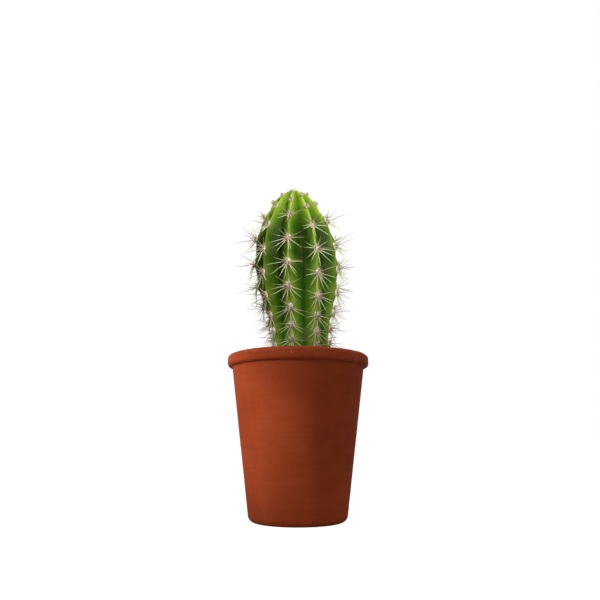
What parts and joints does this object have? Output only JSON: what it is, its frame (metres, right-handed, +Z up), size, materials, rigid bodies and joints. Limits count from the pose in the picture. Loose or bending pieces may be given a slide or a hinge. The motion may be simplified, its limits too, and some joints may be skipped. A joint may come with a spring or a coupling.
{
  "type": "potted columnar cactus",
  "caption": "Ribbed green columnar cactus with clusters of short spines, rooted in soil in a tapered terracotta pot with a rounded lip.",
  "frame": {"origin": "middle of the pot's flat base, where it rests", "axes": "+Z up along the pot's axis, -Y towards the front, +X to the right as seen from the front"},
  "size_m": [0.08, 0.08, 0.1946],
  "materials": {
    "terracotta": "unglazed fired clay, matte, fine turning lines",
    "soil": "dark crumbly potting mix of peat, bark and grit, matte",
    "green_skin": "waxy green plant skin, satin, paler on the rib crests",
    "spine": "pale straw spines, darker at their tips, with pinkish grey felt at their feet",
    "young_wool": "short cream and pinkish brown wool"
  },
  "bodies": {
    "root": {"pot": "terracotta", "potting_soil": "soil", "stem": "green_skin", "crown_spines": "young_wool", "spines_rib_1": "spine", "spines_rib_2": "spine", "spines_rib_3": "spine", "spines_rib_4": "spine", "spines_rib_5": "spine", "spines_rib_6": "spine", "spines_rib_7": "spine", "spines_rib_8": "spine", "spines_rib_9": "spine"}
  },
  "joints": []
}
